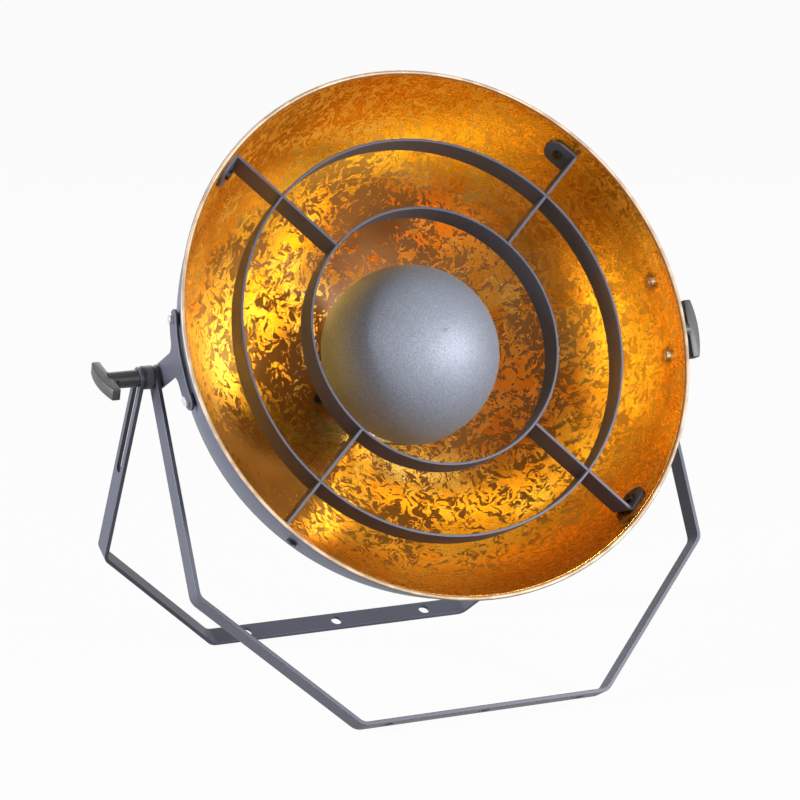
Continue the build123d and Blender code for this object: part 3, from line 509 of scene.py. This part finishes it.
# %% [markdown]
# ## Plastics, plated steel and glass
# The small parts take a handful of finishes. Moulded nylon is matt with a spark-eroded grain.
# Zinc plate, brass and nickel are bright but never a mirror, with fine marks and a faint
# spangle, and black oxide is a dark metal with an oily sheen. Glass is left clear, with the
# faint ripple of blown glass.


# %% Small finishes
def moulded(name, colour, rough, grain_depth):
    """Injection-moulded plastic with an eroded grain."""
    plastic = Finish(name)
    grain = plastic.noise(2300.0, detail=3.0, roughness=0.65)
    flow = plastic.noise(90.0)
    return plastic.done(
        Base_Color=plastic.mix(flow, shade(colour), shade(colour, 1.35, 0.002)),
        Specular_IOR_Level=0.32,
        Roughness=grain * 0.18 + (rough - 0.09),
        Normal=plastic.bump(grain, grain_depth * MM, 0.5),
    )


def plated(name, colour, rough, marks_per_metre, depth):
    """Bare or plated metal with fine marks and a faint spangle."""
    metal = Finish(name)
    marks = metal.noise(marks_per_metre, detail=4.0, roughness=0.6)
    spangle = metal.cells(marks_per_metre * 0.3)
    return metal.done(
        Base_Color=metal.mix(spangle * 0.6, shade(colour), shade(colour, 0.80)),
        Metallic=1.0,
        Roughness=marks * 0.16 + (rough - 0.08),
        Normal=metal.bump(marks, depth * MM, 0.35),
    )


def blown_glass(name):
    """Clear thin glass with a slight ripple."""
    glass = Finish(name)
    ripple = glass.noise(40.0, detail=1.0)
    return glass.done(
        Base_Color=glass.mix(ripple, rgb(0.97, 0.98, 0.97), rgb(1.0, 1.0, 1.0)),
        Roughness=ripple * 0.03 + 0.01,
        Transmission_Weight=1.0,
        IOR=1.45,
        Normal=glass.bump(ripple, 0.0002, 0.2),
    )


black_nylon = moulded("black_nylon", (0.014, 0.014, 0.016), 0.46, 0.10)
grey_nylon = moulded("grey_nylon", (0.060, 0.058, 0.070), 0.48, 0.08)
natural_nylon = moulded("natural_nylon", (0.72, 0.70, 0.62), 0.45, 0.06)
holder_resin = moulded("black_holder_resin", (0.020, 0.019, 0.018), 0.34, 0.04)
zinc = plated("zinc_plate", (0.74, 0.73, 0.72), 0.27, 700.0, 0.05)
oxide = plated("black_oxide_steel", (0.050, 0.048, 0.050), 0.34, 900.0, 0.04)
brass = plated("turned_brass", (0.83, 0.60, 0.26), 0.28, 1200.0, 0.03)
nickel = plated("rolled_nickel", (0.78, 0.76, 0.72), 0.22, 1000.0, 0.03)
glass = blown_glass("bulb_glass")

# %% [markdown]
# ## Dressing the CAD nodes
# Each CAD node keeps its mesh and takes one finish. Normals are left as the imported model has
# them, because its flat faces and round ones are already told apart.

# %% Give every node its finish
dress = {
    stand_paint: ["front_yoke", "rear_yoke", "pivot_bracket_left", "pivot_bracket_right"]
    + ["rear_housing"],
    grille_paint: ["grille_outer_ring", "grille_inner_ring"]
    + [name for name in nodes if "spoke" in name],
    cap_paint: ["cap"],
    bowl_paint: ["bowl"],
    zinc: ["cap_stirrup", "bracket_screws", "bracket_nuts", "pivot_bolts", "nipple"]
    + ["nipple_locknuts"],
    oxide: ["grille_screws", "grille_nuts", "housing_screws", "bracket_spacers"],
    black_nylon: ["knob_left", "knob_right", "inner_washers", "thin_washers", "outer_washers"]
    + ["cable_gland", "gland_cap_nut", "gland_locknut"],
    grey_nylon: ["spacer_rings"],
    natural_nylon: ["terminal_block"],
    holder_resin: ["lampholder_body"],
    brass: ["knob_insert_left", "knob_insert_right", "lampholder_thread_shell"]
    + ["lampholder_contact"],
    nickel: ["bulb_screw_cap"],
    glass: ["bulb_glass"],
}
for material, names in dress.items():
    for name in names:
        nodes[name].data.materials.clear()
        nodes[name].data.materials.append(material)
undressed = set(nodes) - {name for names in dress.values() for name in names}
print("nodes without a finish:", sorted(undressed))


# %% [markdown]
# ## Making pieces with bmesh
# New pieces start as a few vertices or a ready shape, which operators then spin, extrude,
# bevel or bend. Three helpers save repeating the same lines: one puts an object with its data
# in the scene, one turns a finished bmesh into an object, and one makes that object a piece
# that rides on a body of the lamp, its surface smooth with sharp edges kept.


# %% From bmesh to a piece of the lamp
SHARP_EDGE = radians(35)


def put(name, data):
    """An object of the scene that holds a mesh, a light or a camera."""
    thing = bpy.data.objects.new(name, data)
    bpy.context.scene.collection.objects.link(thing)
    return thing


def close_mesh(name, mesh, material):
    """Turns a bmesh into an object with one material."""
    data = bpy.data.meshes.new(name)
    mesh.to_mesh(data)
    mesh.free()
    data.materials.append(material)
    return put(name, data)


def make_piece(name, mesh, body, material, matrix):
    """Moves a bmesh to its place and closes it into a piece that rides on a body."""
    bmesh.ops.transform(mesh, matrix=matrix, verts=mesh.verts)
    piece = close_mesh(name, mesh, material)
    piece.data.set_sharp_from_angle(angle=SHARP_EDGE)
    piece.data.polygons.foreach_set("use_smooth", [True] * len(piece.data.polygons))
    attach(piece, body)
    sides = [round(side / MM, 1) for side in piece.dimensions]
    print("piece:", name, "-", len(piece.data.polygons), "faces, size mm", sides)
    return piece


# %% [markdown]
# ## The leaf as a lining
# Leaf has hardly any thickness, but its wrinkles catch the light from every side, and a bump
# alone leaves the outline of a highlight too smooth. So the leaf is a piece of its own: a thin
# shell that follows the inside of the bowl a tenth of a millimetre off the metal. An arc of
# the bowl's section is spun round its axis, and each point is then moved a few hundredths of a
# millimetre by noise. The arc stops short of the axis, where the bowl has its middle hole.

# %% Spin the leaf lining
LEAF_OFF_METAL = 0.10 * MM
LEAF_THICKNESS = 0.05 * MM
LEAF_WRINKLE = 0.10 * MM
LEAF_EDGE_BEHIND_RIM = 1.7 * MM
AXIS_HOLE_RADIUS = 5.2 * MM
LEAF_STEPS_ROUND = 240
LEAF_STEPS_DEEP = 110
BROAD_WRINKLES = 140
FINE_WRINKLES = 420

leaf_radius = ball_radius - BOWL_SHEET - LEAF_OFF_METAL
leaf_start = asin((RIM_AHEAD - LEAF_EDGE_BEHIND_RIM - ball_centre) / leaf_radius)
leaf_end = -pi / 2 + AXIS_HOLE_RADIUS / leaf_radius
print("leaf radius %.4f, from %.3f to %.3f rad" % (leaf_radius, leaf_start, leaf_end))


def build_leaf():
    """A thin wrinkled shell just inside the bowl."""
    mesh = bmesh.new()
    previous = None
    for step in range(LEAF_STEPS_DEEP + 1):
        angle = leaf_start + (leaf_end - leaf_start) * step / LEAF_STEPS_DEEP
        ahead = ball_centre + leaf_radius * sin(angle)
        point = mesh.verts.new((leaf_radius * cos(angle), 0, ahead))
        if previous:
            mesh.edges.new((previous, point))
        previous = point
    bmesh.ops.spin(
        mesh, geom=mesh.verts[:] + mesh.edges[:], axis=(0, 0, 1), cent=(0, 0, 0), angle=2 * pi,
        steps=LEAF_STEPS_ROUND, use_merge=True, use_duplicate=False,
    )
    bmesh.ops.remove_doubles(mesh, verts=mesh.verts, dist=0.01 * MM)
    centre = Vector((0, 0, ball_centre))
    for vertex in mesh.verts:
        outward = (vertex.co - centre).normalized()
        broad = noise.noise(vertex.co * BROAD_WRINKLES)
        ripple = broad + 0.5 * noise.noise(vertex.co * FINE_WRINKLES)
        vertex.co -= outward * LEAF_WRINKLE * (0.5 + 0.33 * ripple)
    bmesh.ops.recalc_face_normals(mesh, faces=mesh.faces)
    bmesh.ops.solidify(mesh, geom=mesh.faces[:], thickness=LEAF_THICKNESS)
    return make_piece("gold_leaf_lining", mesh, "head", gold_leaf, to_lamp)


lining = build_leaf()

# %% [markdown]
# ## Wing knobs
# The knobs that clamp the stand are moulded in one piece: a round stem and a bar across its
# end, whose outer face is bowed so that two fingers find its middle. Where the stem meets the
# bar it widens into two small webs. Each knob is built in a frame of its own: x along the bar,
# y out along the pivot axis, z across the bar. The bar and the webs are flat outlines given
# thickness by an extrude and softened by a bevel, and the stem is a cylinder with a slight
# draft. The two knobs stopped at different angles when they were tightened.

# %% Sizes of a wing knob
KNOB_STEM_RADIUS = 6.2 * MM
KNOB_STEM_LENGTH = 20.5 * MM
BAR_HALF_LENGTH = 22.6 * MM
BAR_DEPTH = 6.0 * MM
BAR_BOW = 3.2 * MM
BAR_WIDTH = 8.9 * MM
WEB_REACH = 5.5 * MM
WEB_WIDTH = 5.0 * MM
EDGE_SOFT = 0.9 * MM
ARC_STEPS = 16
STEM_DRAFT = 0.97
STEM_SIDES = 48
OVERLAP = 1.0 * MM
SHARP_CORNER = radians(25)
KNOBS = {"left": (-1, radians(16.0)), "right": (1, radians(69.0))}


# %% Shape a wing knob
def slab(mesh, outline, width, soft):
    """Adds a flat outline, extruded to a width centred on z = 0, with soft edges."""
    corners = [mesh.verts.new((x, y, -width / 2)) for x, y in outline]
    face = mesh.faces.new(corners)
    pulled = bmesh.ops.extrude_face_region(mesh, geom=[face])
    moved = [part for part in pulled["geom"] if isinstance(part, bmesh.types.BMVert)]
    bmesh.ops.translate(mesh, verts=moved, vec=(0, 0, width))
    ends = set(corners) | set(moved)
    edges = [edge for edge in mesh.edges if set(edge.verts) <= ends]
    sharp = [edge for edge in edges if edge.calc_face_angle(0) > SHARP_CORNER]
    bmesh.ops.bevel(
        mesh, geom=sharp, offset=soft, offset_type="OFFSET", segments=3, profile=0.5,
        affect="EDGES", clamp_overlap=True, material=-1,
    )


def bar_outline():
    """The bar seen along its width: flat towards the stem, bowed outwards."""
    top = KNOB_STEM_LENGTH + BAR_DEPTH
    shares = [step / ARC_STEPS * 2 - 1 for step in range(ARC_STEPS + 1)]
    bow = [(BAR_HALF_LENGTH * share, top + BAR_BOW * (1 - share * share)) for share in shares]
    return bow + [(BAR_HALF_LENGTH, KNOB_STEM_LENGTH), (-BAR_HALF_LENGTH, KNOB_STEM_LENGTH)]


def build_knob(word):
    """A wing knob in the place of its CAD node."""
    side, fall = KNOBS[word]
    low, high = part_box("knob_" + word)
    start = min(abs(low.x), abs(high.x)) * side
    along = Vector((0, -cos(fall), -sin(fall)))
    outward = Vector((side, 0, 0))
    turn = Matrix((along, outward, along.cross(outward))).transposed().to_4x4()
    place = Matrix.Translation(Vector((start, pivot.y, pivot.z))) @ turn
    mesh = bmesh.new()
    slab(mesh, bar_outline(), BAR_WIDTH, EDGE_SOFT)
    foot = KNOB_STEM_RADIUS - OVERLAP
    seat = KNOB_STEM_LENGTH + OVERLAP
    tip = foot + WEB_REACH
    half_web = [(foot, KNOB_STEM_LENGTH - WEB_REACH), (tip, KNOB_STEM_LENGTH), (tip, seat)]
    other_half = [(-x, y) for x, y in half_web]
    slab(mesh, other_half[:1] + half_web + other_half[:0:-1], WEB_WIDTH, EDGE_SOFT / 2)
    stem = Matrix.Translation((0, seat / 2, 0)) @ Matrix.Rotation(-pi / 2, 4, "X")
    bmesh.ops.create_cone(
        mesh, cap_ends=True, segments=STEM_SIDES, radius1=KNOB_STEM_RADIUS,
        radius2=KNOB_STEM_RADIUS * STEM_DRAFT, depth=seat, matrix=stem,
    )
    bmesh.ops.recalc_face_normals(mesh, faces=mesh.faces)
    name = "wing_knob_" + word
    piece = make_piece(name, mesh, word + "_knob", black_nylon, place)
    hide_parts("knob_" + word)
    return piece


for word in KNOBS:
    build_knob(word)

# ## Floor, light and camera
# The lamp stands on a plain white floor, as a product is lit in a studio. A white surface seen
# by the camera is made white by its own colour, not by stronger lamps: for camera, mirror and
# glass rays the floor and the world show a strength near 1, while the light that falls on the
# lamp stays at a plain level.


# %% Studio floor and world
SEEN_RAYS = ("Is Camera Ray", "Is Glossy Ray", "Is Transmission Ray")
WHITE = rgb(1.0, 1.0, 1.0)
FLOOR_GREY = rgb(0.30, 0.30, 0.30)
FLOOR_RADIUS = 14.0
FLOOR_SEEN = 0.96
WORLD_LEVEL = 0.05


def seen_rays(graph):
    """1 for camera, glossy and transmission rays, else 0."""
    first, *others = [graph.add("ShaderNodeLightPath", output=ray) for ray in SEEN_RAYS]
    for ray in others:
        first = first.most(ray)
    return first


def white_floor():
    """A wide floor disc that reads white and keeps a soft shadow."""
    graph = Graph(bpy.data.materials.new("studio_floor_white"))
    diffuse = graph.add("ShaderNodeBsdfDiffuse", None, {"Color": FLOOR_GREY})
    glow = graph.add("ShaderNodeEmission", None, {"Color": WHITE, "Strength": 1.0})
    sockets = {0: seen_rays(graph) * FLOOR_SEEN, 1: diffuse, 2: glow}
    surface = graph.add("ShaderNodeMixShader", None, sockets)
    graph.add("ShaderNodeOutputMaterial", None, {"Surface": surface})
    mesh = bmesh.new()
    bmesh.ops.create_circle(mesh, cap_ends=True, segments=96, radius=FLOOR_RADIUS)
    floor = close_mesh("studio_floor", mesh, graph.owner)
    return floor


def white_world(level):
    """A world that lights at a level and is seen as white."""
    graph = Graph(bpy.data.worlds.new("studio"))
    strength = graph.add("ShaderNodeMapRange", None, {0: seen_rays(graph), 3: level, 4: 1.0})
    sky = graph.add("ShaderNodeBackground", None, {"Color": WHITE, "Strength": strength})
    graph.add("ShaderNodeOutputWorld", None, {"Surface": sky})
    bpy.context.scene.world = graph.owner
    return graph.owner


floor = white_floor()
world = white_world(WORLD_LEVEL)
print("floor:", floor.name, "- world:", world.name, "at level", WORLD_LEVEL)

# %% [markdown]
# Six soft rectangular lights aim at the lamp's middle. A small one from the front right is the
# key and puts the highlights on the leaf, a small one in front and a wide weak one at the left
# fill the bowl, a large one at the left side draws the edges of the straps, and a weak one on
# top and one behind lift what the others leave dark. Each is a place, a size and a power.


# %% Soft lights
MIDDLE = Vector((0, 0, 0.25))
LIGHTS = {
    "key_right": ((1.31, -1.81, 0.72), (0.42, 0.42), 98.0),
    "front": ((0.30, -2.25, 0.62), (0.30, 0.34), 30.0),
    "front_left": ((-1.30, -1.78, 0.66), (0.8, 0.8), 13.0),
    "side_left": ((-2.1, 0.25, 0.6), (0.8, 1.2), 150.0),
    "top": ((0.27, -0.62, 2.5), (0.9, 0.9), 5.0),
    "back": ((1.1, 2.1, 1.5), (1.4, 1.4), 26.0),
}


def soft_light(name, place, size, power):
    """A rectangular light that looks at the lamp's middle."""
    data = bpy.data.lights.new(name, "AREA")
    data.shape = "RECTANGLE"
    data.size, data.size_y = size
    data.energy = power
    light = put(name, data)
    light.location = place
    light.rotation_euler = (MIDDLE - Vector(place)).to_track_quat("-Z", "Y").to_euler()
    print("light:", name, power, "W")
    return light


for name, (place, size, power) in LIGHTS.items():
    soft_light(name, place, size, power)

# %% [markdown]
# The camera stands to the lamp's left and a little above, about two metres away, with a long
# lens, so that the bowl keeps its round shape. Its axis looks past the bowl's middle.

# %% Camera
CAMERA_PLACE = Vector((-0.98907, -2.06522, 0.67571))
CAMERA_LOOK = Vector((0.42107, 0.88470, -0.20002))
CAMERA_LENS = 141.56
CAMERA_SENSOR = 36.0
CAMERA_SEES_TO = 60.0

camera_data = bpy.data.cameras.new("camera")
camera_data.sensor_width = CAMERA_SENSOR
camera_data.lens = CAMERA_LENS
camera_data.clip_end = CAMERA_SEES_TO
camera = put("camera", camera_data)
camera.location = CAMERA_PLACE
camera.rotation_euler = CAMERA_LOOK.to_track_quat("-Z", "Y").to_euler()
bpy.context.scene.camera = camera
bpy.context.scene.view_settings.view_transform = "Standard"
print("camera %.3f m from the pivot" % (CAMERA_PLACE - pivot).length)
